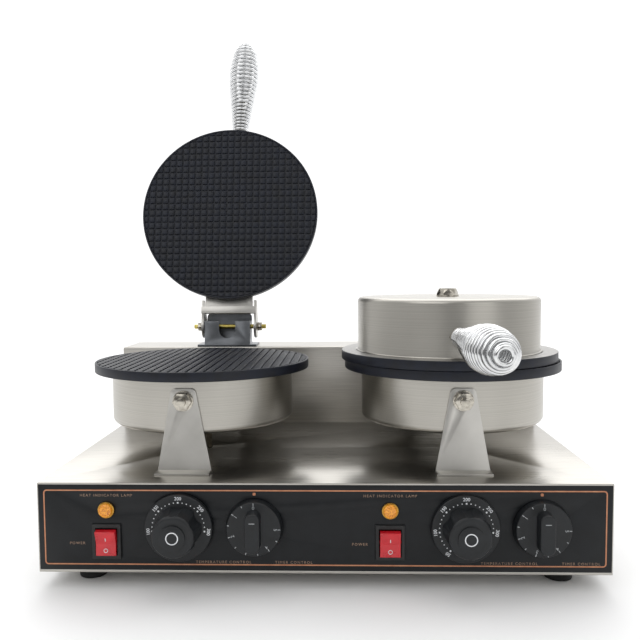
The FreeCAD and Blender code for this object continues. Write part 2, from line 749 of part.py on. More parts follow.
def make_cap(x, root_x):
    """Round cover of the upper head, with a flange at its foot."""
    shell = make_shell(x, upper_top, cap_h, True)
    foot = rod(housing_r + cap_foot_w, V(x, head_y, upper_top), shell_t, Z_AXIS)
    foot = foot.cut(rod(housing_r - shell_t, V(x, head_y, upper_top - TINY),
                        shell_t + 2 * TINY, Z_AXIS))
    cap = fuse([shell, foot])
    cap = cap.cut(rod(stud_r, V(x, head_y, cap_top - 2 * shell_t), 3 * shell_t, Z_AXIS))
    start = handle_point(root_x) - V(0, 2 * shell_t, 0)
    return cap.cut(lean(rod(rod_r, start, 6 * shell_t, Y_AXIS), root_x))


def make_cap_nut(x):
    """Stud from the upper plate, with the washer and nut that hold the cap."""
    stud = rod(stud_r, V(x, head_y, upper_top), cap_h + cap_washer_t + cap_nut_h / 2, Z_AXIS)
    washer = rod(cap_washer_r, V(x, head_y, cap_top), cap_washer_t, Z_AXIS)
    nut = hexagon(cap_nut_af, V(x, head_y, cap_top + cap_washer_t), cap_nut_h, Z_AXIS)
    crown = Part.makeCone(cap_nut_af * 0.62, cap_nut_af * 0.46, cap_nut_h,
                          V(x, head_y, cap_top + cap_washer_t), Z_AXIS)
    return fuse([stud, washer, nut.common(crown)])


def make_handle_rod(x):
    """Threaded rod through the cap's wall, with a nut on each side of it."""
    out = V(0, -1, 0)
    wall = handle_point(x)
    inside = 3 * shell_t + handle_nut_h
    bar = rod(rod_r, wall - out * inside, inside + rod_len, out)
    outer_nut = hexagon(handle_nut_af, wall + out * nut_clear, spring_start - nut_clear, out)
    inner_nut = hexagon(handle_nut_af, wall - out * (3 * shell_t), handle_nut_h * 0.7, V(0, 1, 0))
    return lean(fuse([bar, outer_nut, inner_nut]), x)


def make_handle_spring(x):
    """Outline of the coiled grip: a barrel with a wall one wire thick, open at its end."""
    wall = handle_point(x)
    end = handle_len
    belly = spring_start + 0.68 * (end - spring_start)
    shares = ((0.0, 0.0), (0.16, 0.12), (0.42, 0.60))      # share of the length, share of the swelling
    swelling = spring_belly_r - spring_neck_r
    stations = [(spring_start + t * (end - spring_start), spring_neck_r + s * swelling)
                for t, s in shares]
    stations += [(belly, spring_belly_r),
                 (spring_start + 0.9 * (end - spring_start), 0.83 * spring_belly_r), (end, spring_end_r)]
    rows = []
    for shift in (0.0, wire_d):
        curve = Part.BSplineCurve()
        curve.interpolate([V(wall.x + r - shift, wall.y - t, wall.z) for t, r in stations])
        rows.append(curve.toShape())
    caps = []
    for t, r in (stations[0], stations[-1]):
        caps.append(Part.makeLine(V(wall.x + r, wall.y - t, wall.z),
                                  V(wall.x + r - wire_d, wall.y - t, wall.z)))
    wire = Part.Wire(Part.__sortEdges__(rows + caps))
    barrel = Part.Face(wire).revolve(wall, V(0, -1, 0), 360)
    collar = rod(spring_neck_r - wire_d / 2, wall - V(0, spring_start, 0), spring_grip_len, V(0, -1, 0))
    grip = fuse([barrel, collar])
    grip = grip.cut(rod(rod_r, wall, 2 * spring_grip_len + spring_start, V(0, -1, 0)))
    return lean(grip, x)


# ---------------------------------------------------------------- assembly
add("base_cover", make_base_cover())
add("front_fascia", make_fascia())
add("base_pan", make_base_pan())
add("riser_cover", make_riser_cover())
add("rear_panel", make_rear_panel())
add("case_screws", make_case_screws())
add("rubber_feet", make_feet())
add("foot_screws", make_foot_screws())
add("cable_gland", make_gland())
add("terminal_block", make_terminal_block())

rear_brackets = []
bracket_bolts = []
heaters = []
posts = []
axles = []
axle_nuts = []
for side, sign in side_sign.items():
    lamp_x = sign * set_x + lamp_dx
    dial_x = sign * set_x + knob_dx
    timer_x = sign * set_x + timer_dx
    add("lamp_body_" + side, make_lamp_body(lamp_x))
    add("lamp_lens_" + side, make_lens(lamp_x))
    add("rocker_housing_" + side, make_rocker_housing(lamp_x))
    add("rocker_" + side, make_rocker(lamp_x))
    add("thermostat_body_" + side, make_control_body(dial_x, thermostat_size, 0.0))
    add("thermostat_shaft_" + side, make_shaft(dial_x, dial_t + grip_h / 2))
    add("thermostat_knob_" + side, make_thermostat_knob(dial_x))
    add("timer_body_" + side, make_control_body(timer_x, timer_size, 0.0))
    add("timer_shaft_" + side, make_shaft(timer_x, timer_t + timer_bar_h / 2))
    add("timer_knob_" + side, make_timer_knob(timer_x))

    hx = heads_middle + sign * head_x
    bx = sign * bracket_x
    hinge_at = heads_middle + sign * hinge_x
    lid_x = hinge_at + lid_slide[side]
    root_x = lid_x + handle_dx[side]
    add("lower_housing_" + side, make_lower_housing(hx, bx))
    add("lower_plate_" + side, make_lower_plate(hx))
    add("front_bracket_" + side, make_bracket(bx, -1))
    add("hinge_base_" + side, make_hinge_base(hinge_at))
    rear_brackets.append(make_bracket(bx, 1))
    for facing in (-1, 1):
        bracket_bolts.append(make_bracket_bolt(bx, facing))
    heaters.append(make_heater(hx, lower_bottom - heater_h))
    posts.append(make_post(hx))
    axles.append(make_axle(lid_x))
    axle_nuts.extend(make_axle_nuts(lid_x))

    lid = {"upper_plate_": make_upper_plate(lid_x), "upper_cap_": make_cap(lid_x, root_x),
           "upper_heater_": make_heater(lid_x, upper_top), "cap_nut_": make_cap_nut(lid_x),
           "lid_arm_": make_lid_arm(lid_x), "arm_screws_": make_arm_screws(lid_x),
           "handle_rod_": make_handle_rod(root_x), "handle_spring_": make_handle_spring(root_x)}
    for name, shape in lid.items():
        shape.rotate(V(lid_x, axle_y, axle_z), X_AXIS, -lid_open[side])
        add(name + side, shape)

add("rear_brackets", Part.makeCompound(rear_brackets))
add("bracket_bolts", Part.makeCompound(bracket_bolts))
add("lower_heaters", Part.makeCompound(heaters))
add("wire_posts", Part.makeCompound(posts))
add("hinge_axles", Part.makeCompound(axles))
add("hinge_nuts", Part.makeCompound(axle_nuts))

# ---------------------------------------------------------------- origin and files
whole = Part.makeCompound(list(nodes.values()))
extent = whole.BoundBox
origin_y = (extent.YMin + extent.YMax) / 2
for name, shape in sorted(nodes.items()):
    shape.translate(V(0, -origin_y, 0))
    solids = shape.Solids
    print("NODE", name, "solids", len(solids), "valid", shape.isValid(),
          "volume", round(sum(s.Volume for s in solids)))
    shape.exportStep("parts/" + name + ".step")

print("SIZE", round(extent.XLength, 2), round(extent.YLength, 2), round(extent.ZLength, 2),
      "nodes", len(nodes))
for side, sign in side_sign.items():
    lid_x = heads_middle + sign * hinge_x + lid_slide[side]
    print("POINT lid", side, round(lid_x, 3), round(axle_y - origin_y, 3), round(axle_z, 3))
    print("POINT rocker", side, sign * set_x + lamp_dx, round(rocker_pivot_y - origin_y, 3), rocker_z)
    print("POINT thermostat", side, sign * set_x + knob_dx, round(-origin_y, 3), knob_z)
    print("POINT timer", side, sign * set_x + timer_dx, round(-origin_y, 3), knob_z)
for x, y in foot_places():
    print("POINT foot", x, round(y - origin_y, 3))
print("POINT gland", gland_x, round(base_d + gland_out * 5 / 6 - origin_y, 3), gland_z)
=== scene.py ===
# %% [markdown]
# # A double waffle cone maker
# This lesson dresses a finished CAD model as a real machine: a long stainless base
# with a black control panel, and two round baking heads, one open and one closed.
# The CAD model gives every place and size, in metres. Blender only adds what the
# eye expects: soft edges, spun steel, cut waffle squares, coiled wire and print.

# %% Load the frame
import bmesh
import bpy
import json
import math
from mathutils import Matrix, Vector

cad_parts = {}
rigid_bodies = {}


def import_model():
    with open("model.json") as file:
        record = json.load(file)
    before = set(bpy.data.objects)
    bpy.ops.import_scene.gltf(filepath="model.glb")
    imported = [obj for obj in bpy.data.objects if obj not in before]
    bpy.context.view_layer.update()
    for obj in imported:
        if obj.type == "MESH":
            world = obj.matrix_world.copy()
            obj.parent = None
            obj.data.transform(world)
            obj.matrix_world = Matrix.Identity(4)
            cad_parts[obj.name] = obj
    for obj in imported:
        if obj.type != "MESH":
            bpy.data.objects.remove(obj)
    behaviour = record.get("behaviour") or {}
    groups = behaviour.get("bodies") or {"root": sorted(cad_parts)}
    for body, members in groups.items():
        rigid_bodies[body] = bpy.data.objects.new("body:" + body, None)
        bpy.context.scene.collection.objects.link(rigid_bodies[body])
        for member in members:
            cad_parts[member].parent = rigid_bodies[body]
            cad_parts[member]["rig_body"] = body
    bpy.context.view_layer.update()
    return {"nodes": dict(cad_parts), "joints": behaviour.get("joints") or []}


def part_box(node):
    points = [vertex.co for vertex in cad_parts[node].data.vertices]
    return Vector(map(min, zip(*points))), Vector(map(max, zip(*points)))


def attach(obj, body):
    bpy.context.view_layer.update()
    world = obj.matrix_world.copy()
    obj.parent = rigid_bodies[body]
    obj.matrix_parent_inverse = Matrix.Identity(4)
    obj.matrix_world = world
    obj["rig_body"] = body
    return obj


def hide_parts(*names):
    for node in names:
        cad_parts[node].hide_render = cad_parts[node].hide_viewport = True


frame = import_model()
MM = 0.001
SIDES = ("left", "right")
joints = {joint["name"]: joint for joint in frame["joints"]}

# %% [markdown]
# ## Working by hand, in code
# Blender's operators act on whatever is selected, so each step first deselects
# everything. In edit mode, faces and edges are picked by their place or their
# normal, much as a person would click on "the top ring".


# %% Selecting helpers
def select_only(obj):
    """Make one object the selected and active one."""
    if bpy.context.mode != "OBJECT":
        bpy.ops.object.mode_set(mode="OBJECT")
    bpy.ops.object.select_all(action="DESELECT")
    obj.select_set(True)
    bpy.context.view_layer.objects.active = obj


def edit(obj):
    """Enter edit mode with nothing selected."""
    select_only(obj)
    bpy.ops.object.mode_set(mode="EDIT")
    bpy.ops.mesh.select_all(action="DESELECT")


def pick_faces(obj, test):
    """In edit mode, select only the faces whose centre and normal pass a test."""
    bpy.ops.mesh.select_mode(type="FACE")
    bpy.ops.mesh.select_all(action="DESELECT")
    mesh = bmesh.from_edit_mesh(obj.data)
    for face in mesh.faces:
        if test(face.calc_center_median(), face.normal):
            face.select_set(True)
    bmesh.update_edit_mesh(obj.data)


def pick_edges(obj, test):
    """In edit mode, select only the edges whose two ends pass a test."""
    bpy.ops.mesh.select_mode(type="EDGE")
    bpy.ops.mesh.select_all(action="DESELECT")
    mesh = bmesh.from_edit_mesh(obj.data)
    for edge in mesh.edges:
        if test(edge.verts[0].co, edge.verts[1].co):
            edge.select_set(True)
    bmesh.update_edit_mesh(obj.data)


def done(obj, smooth=35):
    """Leave edit mode, put the place into the mesh and smooth the soft turns."""
    select_only(obj)
    bpy.ops.object.transform_apply(location=True, rotation=True, scale=True)
    bpy.ops.object.shade_smooth_by_angle(angle=math.radians(smooth))
    return obj


def apply_modifier(obj, kind, **settings):
    """Add a modifier with its settings and apply it at once."""
    select_only(obj)
    modifier = obj.modifiers.new(kind.title(), kind)
    for key, value in settings.items():
        setattr(modifier, key, value)
    bpy.ops.object.modifier_apply(modifier=modifier.name)


def duplicate(obj, name, shift=(0, 0, 0)):
    """Copy a piece with its own mesh, moved along, with the move in the mesh."""
    select_only(obj)
    bpy.ops.object.duplicate(linked=False)
    copy = bpy.context.object
    copy.name = name
    copy.data.transform(Matrix.Translation(Vector(shift)))
    return copy


def fit_out(obj, body, material, nodes=()):
    """Give a finished piece its body, its material and the CAD nodes it stands for."""
    if material is not None:
        obj.data.materials.clear()
        obj.data.materials.append(material)
    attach(obj, body)
    if nodes:
        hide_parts(*nodes)
    return obj


# %% [markdown]
# ## Colours and nodes
# A colour picker shows sRGB values, but a shader wants linear light, so one small
# function turns hex values into linear ones. One more function adds any node with
# its settings and links.


# %% Colour and node helpers
def linear(hex_colour):
    """An sRGB hex colour as linear red, green, blue and alpha."""
    channels = [int(hex_colour[i:i + 2], 16) / 255 for i in (1, 3, 5)]
    return [c / 12.92 if c <= 0.04045 else ((c + 0.055) / 1.055) ** 2.4 for c in channels] + [1.0]


def new_material(name, colour, metallic=0.0, roughness=0.5, **sockets):
    """A material with its shader's own sockets set; returns it and the shader."""
    material = bpy.data.materials.new(name)
    material.use_nodes = True
    shader = material.node_tree.nodes["Principled BSDF"]
    shader.inputs["Base Color"].default_value = linear(colour)
    shader.inputs["Metallic"].default_value = metallic
    shader.inputs["Roughness"].default_value = roughness
    for socket, value in sockets.items():
        shader.inputs[socket.replace("_", " ")].default_value = value
    return material, shader


def add_node(material, kind, settings=None, links=None):
    """Add a node; settings are its own values or its sockets, links feed its sockets."""
    node = material.node_tree.nodes.new(kind)
    for key, value in (settings or {}).items():
        if isinstance(key, str) and hasattr(node, key):
            setattr(node, key, value)
        else:
            node.inputs[key].default_value = value
    for key, source in (links or {}).items():
        material.node_tree.links.new(source, node.inputs[key])
    return node


def link(material, source, target):
    material.node_tree.links.new(source, target)


def per_mm(size):
    """The texture scale at which one feature is so many millimetres across."""
    return 1 / (size * MM)


def add_ramp(material, source, low, high, start=0.3, end=0.7):
    """Turn a grey pattern into a slide between two hex colours."""
    ramp = add_node(material, "ShaderNodeValToRGB", links={"Fac": source})
    ramp.color_ramp.elements[0].position = start
    ramp.color_ramp.elements[1].position = end
    ramp.color_ramp.elements[0].color = linear(low)
    ramp.color_ramp.elements[1].color = linear(high)
    return ramp.outputs["Color"]


def add_range(material, source, low, high):
    """Turn a grey pattern into values between two numbers."""
    node = add_node(material, "ShaderNodeMapRange", {"To Min": low, "To Max": high},
                    {"Value": source})
    return node.outputs["Result"]


def add_bump(material, shader, source, depth_mm, strength=0.5):
    """Raise a pattern on the surface by a real depth."""
    bump = add_node(material, "ShaderNodeBump", {"Strength": strength, "Distance": depth_mm * MM},
                    {"Height": source})
    link(material, bump.outputs["Normal"], shader.inputs["Normal"])
    return bump


# %% [markdown]
# ## Stainless steel, three ways
# **Brushed sheet** covers the base. A belt has dragged fine scratches along its
# length, so reflections smear across them. The scratches are drawn 0.7 mm apart,
# wider than the real 0.2 mm, because finer ones would vanish in the picture.
# **Spun steel** makes the round housings. The scratches are rings about the axis,
# so the pattern is read from the distance to the axis and the height along it.
# ** Cut steel** makes the brackets: smoother, with only faint mottling. The hinges get a darker
# grey, which is painted shade for the shadowed hinge, and bolts are machined, so they are brighter and
# tighter.


# %% Brushed sheet
def brushed_sheet(name, colour_low, colour_high, stretch, smooth=0.24, rough=0.36):
    """Belt-brushed stainless; stretch is the scratch length over its width, per axis."""
    material, shader = new_material(name, colour_high, metallic=1.0)
    place = add_node(material, "ShaderNodeTexCoord")
    scale = [per_mm(0.7) / s for s in stretch]
    lines = add_node(material, "ShaderNodeMapping", {"Scale": scale},
                     {"Vector": place.outputs["Object"]})
    scratches = add_node(material, "ShaderNodeTexNoise", {"Scale": 1.0, "Detail": 3.0},
                         {"Vector": lines.outputs["Vector"]})
    cloud = add_node(material, "ShaderNodeTexNoise", {"Scale": per_mm(90), "Detail": 2.0},
                     {"Vector": place.outputs["Object"]})
    colour = add_ramp(material, scratches.outputs["Fac"], colour_low, colour_high, 0.2, 0.8)
    link(material, colour, shader.inputs["Base Color"])
    mixed = add_node(material, "ShaderNodeMath", {"operation": "MULTIPLY"},
                     {0: scratches.outputs["Fac"], 1: cloud.outputs["Fac"]})
    link(material, add_range(material, mixed.outputs["Value"], smooth, rough + 0.1),
         shader.inputs["Roughness"])
    add_bump(material, shader, scratches.outputs["Fac"], 0.012, 0.6)
    return material


steel_base = brushed_sheet("Brushed_stainless_sheet", "#a5a29c", "#c2bfb9", (60, 1, 1))
steel_riser = brushed_sheet("Brushed_stainless_riser", "#aaa7a1", "#c6c3bd", (60, 1, 1), 0.28, 0.42)
print("Brushed sheet ready")


# %% Spun steel
def spun_steel(name, centre, tilt_deg, colour_low="#9d9a93", colour_high="#bdbab3"):
    """Stainless turned on a lathe: rings about an upright axis, or one tilted about X."""
    material, shader = new_material(name, colour_high, metallic=1.0)
    place = add_node(material, "ShaderNodeTexCoord")
    moved = add_node(material, "ShaderNodeVectorMath", {"operation": "SUBTRACT", 1: centre},
                     {0: place.outputs["Object"]})
    turned = add_node(material, "ShaderNodeMapping",
                      {"Rotation": (math.radians(tilt_deg), 0, 0)},
                      {"Vector": moved.outputs["Vector"]})
    split = add_node(material, "ShaderNodeSeparateXYZ", links={"Vector": turned.outputs["Vector"]})
    flat = add_node(material, "ShaderNodeCombineXYZ",
                    links={"X": split.outputs["X"], "Y": split.outputs["Y"]})
    radius = add_node(material, "ShaderNodeVectorMath", {"operation": "LENGTH"},
                      {0: flat.outputs["Vector"]})
    rings = add_node(material, "ShaderNodeCombineXYZ",
                     links={"X": radius.outputs["Value"], "Z": split.outputs["Z"]})
    lines = add_node(material, "ShaderNodeTexNoise", {"Scale": per_mm(0.8), "Detail": 3.0},
                     {"Vector": rings.outputs["Vector"]})
    cloud = add_node(material, "ShaderNodeTexNoise", {"Scale": per_mm(45), "Detail": 2.0},
                     {"Vector": place.outputs["Object"]})
    colour = add_ramp(material, lines.outputs["Fac"], colour_low, colour_high, 0.2, 0.8)
    link(material, colour, shader.inputs["Base Color"])
    link(material, add_range(material, cloud.outputs["Fac"], 0.26, 0.40), shader.inputs["Roughness"])
    add_bump(material, shader, lines.outputs["Fac"], 0.01, 0.5)
    return material


# %% Cut and folded steel, fasteners
def cut_steel(name, colour_low, colour_high, rough_low, rough_high, grain_mm=6):
    """Plain mill-finish or machined steel with faint mottling."""
    material, shader = new_material(name, colour_high, metallic=1.0)
    place = add_node(material, "ShaderNodeTexCoord")
    mottle = add_node(material, "ShaderNodeTexNoise", {"Scale": per_mm(grain_mm), "Detail": 4.0},
                      {"Vector": place.outputs["Object"]})
    link(material, add_ramp(material, mottle.outputs["Fac"], colour_low, colour_high),
         shader.inputs["Base Color"])
    link(material, add_range(material, mottle.outputs["Fac"], rough_low, rough_high),
         shader.inputs["Roughness"])
    fine = add_node(material, "ShaderNodeTexNoise", {"Scale": per_mm(0.9), "Detail": 2.0},
                    {"Vector": place.outputs["Object"]})
    add_bump(material, shader, fine.outputs["Fac"], 0.008, 0.4)
    return material


steel_bracket = cut_steel("Mill_finish_stainless", "#bab8b3", "#c8c6c1", 0.34, 0.40, 28)
# Darker grey than the brackets: painted shade, because the hinge sits in shadow.
hinge_steel_painted_shade = cut_steel("Hinge_steel_painted_shade", "#6f7276", "#888b8f", 0.28, 0.38, 20)
steel_bolt = cut_steel("Machined_steel", "#9d988e", "#c6c1b6", 0.12, 0.24, 3)
steel_dull = cut_steel("Heat_dulled_steel", "#55504a", "#79736b", 0.40, 0.60)
zinc_yellow = cut_steel("Yellow_zinc_plate", "#b9a04a", "#d8cb7a", 0.22, 0.38, 4)
chrome = cut_steel("Chrome_plated_wire", "#c9cacc", "#dedfdf", 0.05, 0.10, 5)
lamp_rim = cut_steel("Gilt_plated_rim", "#a8762c", "#caa050", 0.22, 0.36, 3)
rim_ring = cut_steel("Turned_aluminium", "#8d8c8a", "#a7a5a2", 0.34, 0.5, 3)

# %% [markdown]
# ## The dark materials
# The baking faces carry a **non-stick coating**: a thin baked film over rough cast
# metal, blue-black, with a dull shine and a fine orange-peel. The fascia is
# **screen-printed plastic film**, the knobs are **moulded phenolic**, which is
# harder and a little greyer, and the feet are **matt rubber**.


# %% Dark materials
def moulded(name, low, high, rough_low, rough_high, grain_mm, depth_mm, **sockets):
    """A moulded or sprayed finish: two close colours, uneven gloss and a fine grain."""
    material, shader = new_material(name, high, roughness=rough_high, **sockets)
    place = add_node(material, "ShaderNodeTexCoord")
    wide = add_node(material, "ShaderNodeTexNoise", {"Scale": per_mm(grain_mm * 12), "Detail": 3.0},
                    {"Vector": place.outputs["Object"]})
    grain = add_node(material, "ShaderNodeTexNoise", {"Scale": per_mm(grain_mm), "Detail": 3.0},
                     {"Vector": place.outputs["Object"]})
    link(material, add_ramp(material, wide.outputs["Fac"], low, high), shader.inputs["Base Color"])
    link(material, add_range(material, wide.outputs["Fac"], rough_low, rough_high),
         shader.inputs["Roughness"])
    add_bump(material, shader, grain.outputs["Fac"], depth_mm, 0.5)
    return material


coating = moulded("Nonstick_coating", "#070a13", "#0e1422", 0.36, 0.50, 0.9, 0.04,
                  Specular_IOR_Level=0.35)
fascia_film = moulded("Printed_black_film", "#0b0d10", "#121518", 0.34, 0.46, 1.2, 0.01,
                      Specular_IOR_Level=0.3)
phenolic = moulded("Moulded_phenolic", "#111315", "#191c1f", 0.36, 0.50, 0.8, 0.02,
                   Specular_IOR_Level=0.4)
nylon = moulded("Black_nylon", "#0f1011", "#161718", 0.42, 0.58, 0.7, 0.02)
rubber = moulded("Matt_rubber", "#0e0e0f", "#191919", 0.68, 0.85, 0.9, 0.06)
rocker_red = moulded("Red_rocker_plastic", "#b3101d", "#d2202c", 0.22, 0.34, 1.0, 0.01,
                     Coat_Weight=0.3, Coat_Roughness=0.15)
print_white = moulded("White_pad_print", "#c9ccd0", "#e6e8ea", 0.45, 0.6, 0.5, 0.01)
print_grey = moulded("Pale_pad_print", "#8b8f92", "#b4b7b9", 0.45, 0.6, 0.5, 0.01)
print_copper = moulded("Copper_print", "#b1714f", "#c98c66", 0.40, 0.52, 0.6, 0.01)
print_label = moulded("Dull_copper_print", "#7a6252", "#a1846e", 0.45, 0.58, 0.5, 0.01)
lens_amber = moulded("Amber_lens", "#9c4d04", "#f2ab2c", 0.16, 0.26, 0.12, 0.1,
                     Coat_Weight=0.4, Emission_Color=linear("#e08414"), Emission_Strength=0.18)
print("Dark materials ready")

# %% [markdown]
# ## Softening the CAD sheet metal
# A CAD edge is perfectly sharp, and no real edge is. A copy of each CAD node is
# welded, its flat triangles are merged, and a small bevel breaks every edge, so
# that it catches a thin line of light, as a deburred edge does.


# %% Soften a node
def soften(node, material, bevel_mm=0.3, segments=2, angle=35, name=None):
    """Stand a copy with broken edges in for a CAD node."""
    source = frame["nodes"][node]
    piece = bpy.data.objects.new(name or node + "_finished", source.data.copy())
    bpy.context.scene.collection.objects.link(piece)
    edit(piece)
    bpy.ops.mesh.customdata_custom_splitnormals_clear()
    bpy.ops.mesh.select_all(action="SELECT")
    bpy.ops.mesh.remove_doubles(threshold=0.01 * MM)
    bpy.ops.mesh.dissolve_limited(angle_limit=math.radians(0.5))
    select_only(piece)
    if bevel_mm:
        apply_modifier(piece, "BEVEL", width=bevel_mm * MM, segments=segments,
                       limit_method="ANGLE", angle_limit=math.radians(angle),
                       use_clamp_overlap=True)
    done(piece, angle)
    return fit_out(piece, source["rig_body"], material, [node])


plain = {
    "base_cover": (steel_base, "stainless_sheet", 0.3),
    "base_pan": (steel_base, "stainless_sheet", 0.2),
    "riser_cover": (steel_riser, "stainless_sheet", 0.3),
    "rear_panel": (steel_riser, "stainless_sheet", 0.2),
    "front_fascia": (fascia_film, "black_fascia", 0.2),
    "rubber_feet": (rubber, "foot_rubber", 1.2),
    "cable_gland": (nylon, "black_plastic", 0.4),
    "rear_brackets": (steel_bracket, "stainless_bracket", 0.3),
    "bracket_bolts": (steel_bolt, "steel_fastener", 0.4),
    "hinge_nuts": (steel_bolt, "steel_fastener", 0.4),
    "hinge_axles": (zinc_yellow, "zinc_yellow", 0.5),
    "case_screws": (steel_bolt, "steel_fastener", 0.2),
    "wire_posts": (steel_bolt, "steel_fastener", 0.3),
}
for side in SIDES:
    plain["front_bracket_" + side] = (steel_bracket, "stainless_bracket", 0.4)
    # The hinge bases take the darker steel, which is painted shade.
    plain["hinge_base_" + side] = (hinge_steel_painted_shade, "stainless_bracket", 0.4)
    plain["lid_arm_" + side] = (steel_bracket, "stainless_bracket", 0.4)
    plain["cap_nut_" + side] = (steel_bolt, "steel_fastener", 0.5)
    plain["arm_screws_" + side] = (steel_bolt, "steel_fastener", 0.2)
    plain["handle_rod_" + side] = (steel_bolt, "chrome_wire", 0.3)
    plain["rocker_housing_" + side] = (nylon, "black_plastic", 0.3)
    plain["lamp_body_" + side] = (lamp_rim, "lamp_brass", 0.3)
    plain["thermostat_knob_" + side] = (phenolic, "knob_plastic", 0.5)
    plain["timer_knob_" + side] = (phenolic, "knob_plastic", 0.5)
    plain["rocker_" + side] = (rocker_red, "rocker_plastic", 0.5)
for node, (material, slot, bevel) in plain.items():
    soften(node, material, bevel)
print(len(plain), "CAD nodes softened")

# %% [markdown]
# ## Inner pieces
# Some nodes are hidden in the base and the heads. They keep their CAD shape and
# get a finish through their material slots.

# %% Inner pieces
inner = {"terminal_block": nylon, "foot_screws": steel_bolt, "lower_heaters": steel_dull}
for side in SIDES:
    inner["thermostat_body_" + side] = nylon
    inner["timer_body_" + side] = nylon
    inner["thermostat_shaft_" + side] = steel_bolt
    inner["timer_shaft_" + side] = steel_bolt
    inner["upper_heater_" + side] = steel_dull
for node, material in inner.items():
    mesh = frame["nodes"][node].data
    mesh.materials.clear()
    mesh.materials.append(material)
print(len(inner), "inner nodes finished")

# %% [markdown]
# ## Working on a lid
# The right lid is closed and square to the axes, so every lid piece is modelled
# there. For the left lid a copy is moved across and then swung up about its hinge,
# by the angle that its joint says lies between closed and rest.

# %% From the right lid to the left one
hinge = {side: Vector(joints["lid_hinge_" + side]["pos_m"]) for side in SIDES}
lid_shift = hinge["left"] - hinge["right"]
open_angle = math.radians(-joints["lid_hinge_left"]["range_deg"][0])
swing = (Matrix.Translation(hinge["left"]) @ Matrix.Rotation(-open_angle, 4, "X")
         @ Matrix.Translation(-hinge["left"]))


def lid_pair(piece, stem, material, nodes, left_material=None):
    """Keep a piece on the right lid, and put its copy on the open left lid."""
    copy = duplicate(piece, stem + "_left", lid_shift)
    copy.data.transform(swing)
    piece.name = stem + "_right"
    fit_out(piece, "lid_right", material, [n + "_right" for n in nodes])
    fit_out(copy, "lid_left", left_material or material, [n + "_left" for n in nodes])
    return piece, copy


print("The left lid is open by", round(math.degrees(open_angle)), "degrees")

# %% [markdown]
# ## The waffle plates
# A mould maker mills two sets of straight grooves across a cast disc, which leaves
# small square islands. Here one island is modelled, a Boolean trims the whole
# field of copies to a circle, and the field is sunk a little into a plain disc.

# %% Plate sizes
GRID_PITCH = 8.1 * MM
GROOVE_WIDTH = 1.9 * MM
GROOVE_DEPTH = 1.5 * MM
PLAIN_RIM = 2.6 * MM
low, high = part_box("lower_plate_right")
plate_centre = (low + high) / 2
plate_radius = (high.x - low.x) / 2
plate_t = high.z - low.z
plate_top = high.z
print("Plates", round(2 * plate_radius / MM), "mm across,", round(plate_t / MM), "mm thick")


# %% One waffle island, then the whole field
def waffle_field(name, centre, level):
    """Square islands, trimmed to a circle, standing on a level and facing up."""
    cell = GRID_PITCH - GROOVE_WIDTH
    count = 2 * math.ceil(plate_radius / GRID_PITCH) + 1
    half = (count - 1) / 2 * GRID_PITCH
    height = GROOVE_DEPTH + 0.5 * MM
    corner = Vector((centre.x - half, centre.y - half, level - height / 2))
    bpy.ops.mesh.primitive_cube_add(size=1, location=corner)
    field = bpy.context.object
    field.name = name
    field.scale = (cell, cell, height)
    bpy.ops.object.transform_apply(location=True, rotation=True, scale=True)
    edit(field)
    pick_faces(field, lambda c, n: n.z > 0.9)
    bpy.ops.mesh.inset(thickness=0.35 * MM, depth=0)
    outer = cell / 2 - 0.01 * MM
    pick_edges(field, lambda a, b: min(a.z, b.z) > level - 0.1 * MM and
               all(max(abs(p.x - corner.x), abs(p.y - corner.y)) > outer for p in (a, b)))
    bpy.ops.transform.translate(value=(0, 0, -0.2 * MM))
    select_only(field)
    for axis in (0, 1):
        step = [0.0, 0.0, 0.0]
        step[axis] = GRID_PITCH
        apply_modifier(field, "ARRAY", count=count, use_relative_offset=False,
                       use_constant_offset=True, constant_offset_displace=step)
    bpy.ops.mesh.primitive_cylinder_add(vertices=160, radius=plate_radius - PLAIN_RIM,
                                        depth=4 * height, location=(centre.x, centre.y, level))
    cutter = bpy.context.object
    apply_modifier(field, "BOOLEAN", object=cutter, operation="INTERSECT", solver="EXACT")
    bpy.data.objects.remove(cutter)
    return field


# %% The cast disc with its rim
def plate_disc(name, centre, bottom):
    """A disc with a sunk floor for the islands."""
    bpy.ops.mesh.primitive_cylinder_add(vertices=160, radius=plate_radius, depth=plate_t,
                                        location=(centre.x, centre.y, bottom + plate_t / 2))
    disc = bpy.context.object
    disc.name = name
    bpy.ops.object.transform_apply(location=True, rotation=True, scale=True)
    edit(disc)
    pick_faces(disc, lambda c, n: n.z > 0.9)
    bpy.ops.mesh.inset(thickness=PLAIN_RIM - 0.6 * MM, depth=0)
    bpy.ops.mesh.inset(thickness=0.6 * MM, depth=-GROOVE_DEPTH)
    select_only(disc)
    apply_modifier(disc, "BEVEL", width=0.6 * MM, segments=3, limit_method="ANGLE",
                   angle_limit=math.radians(50))
    return disc


def waffle_plate(name, centre, bottom):
    """A whole baking plate that faces up, as one piece."""
    disc = plate_disc(name, centre, bottom)
    field = waffle_field(name + "_field", centre, bottom + plate_t)
    select_only(disc)
    field.select_set(True)
    bpy.ops.object.join()
    return done(disc, 40)


lower_plate = waffle_plate("Waffle_plate_lower_right", plate_centre, plate_top - plate_t)
print("Waffle plate with", len(lower_plate.data.polygons), "faces")

# %% [markdown]
# The upper plate is the same casting, turned over: its islands face down. Its back
# is bare turned aluminium round the foot of the cap, and only the rim is coated.

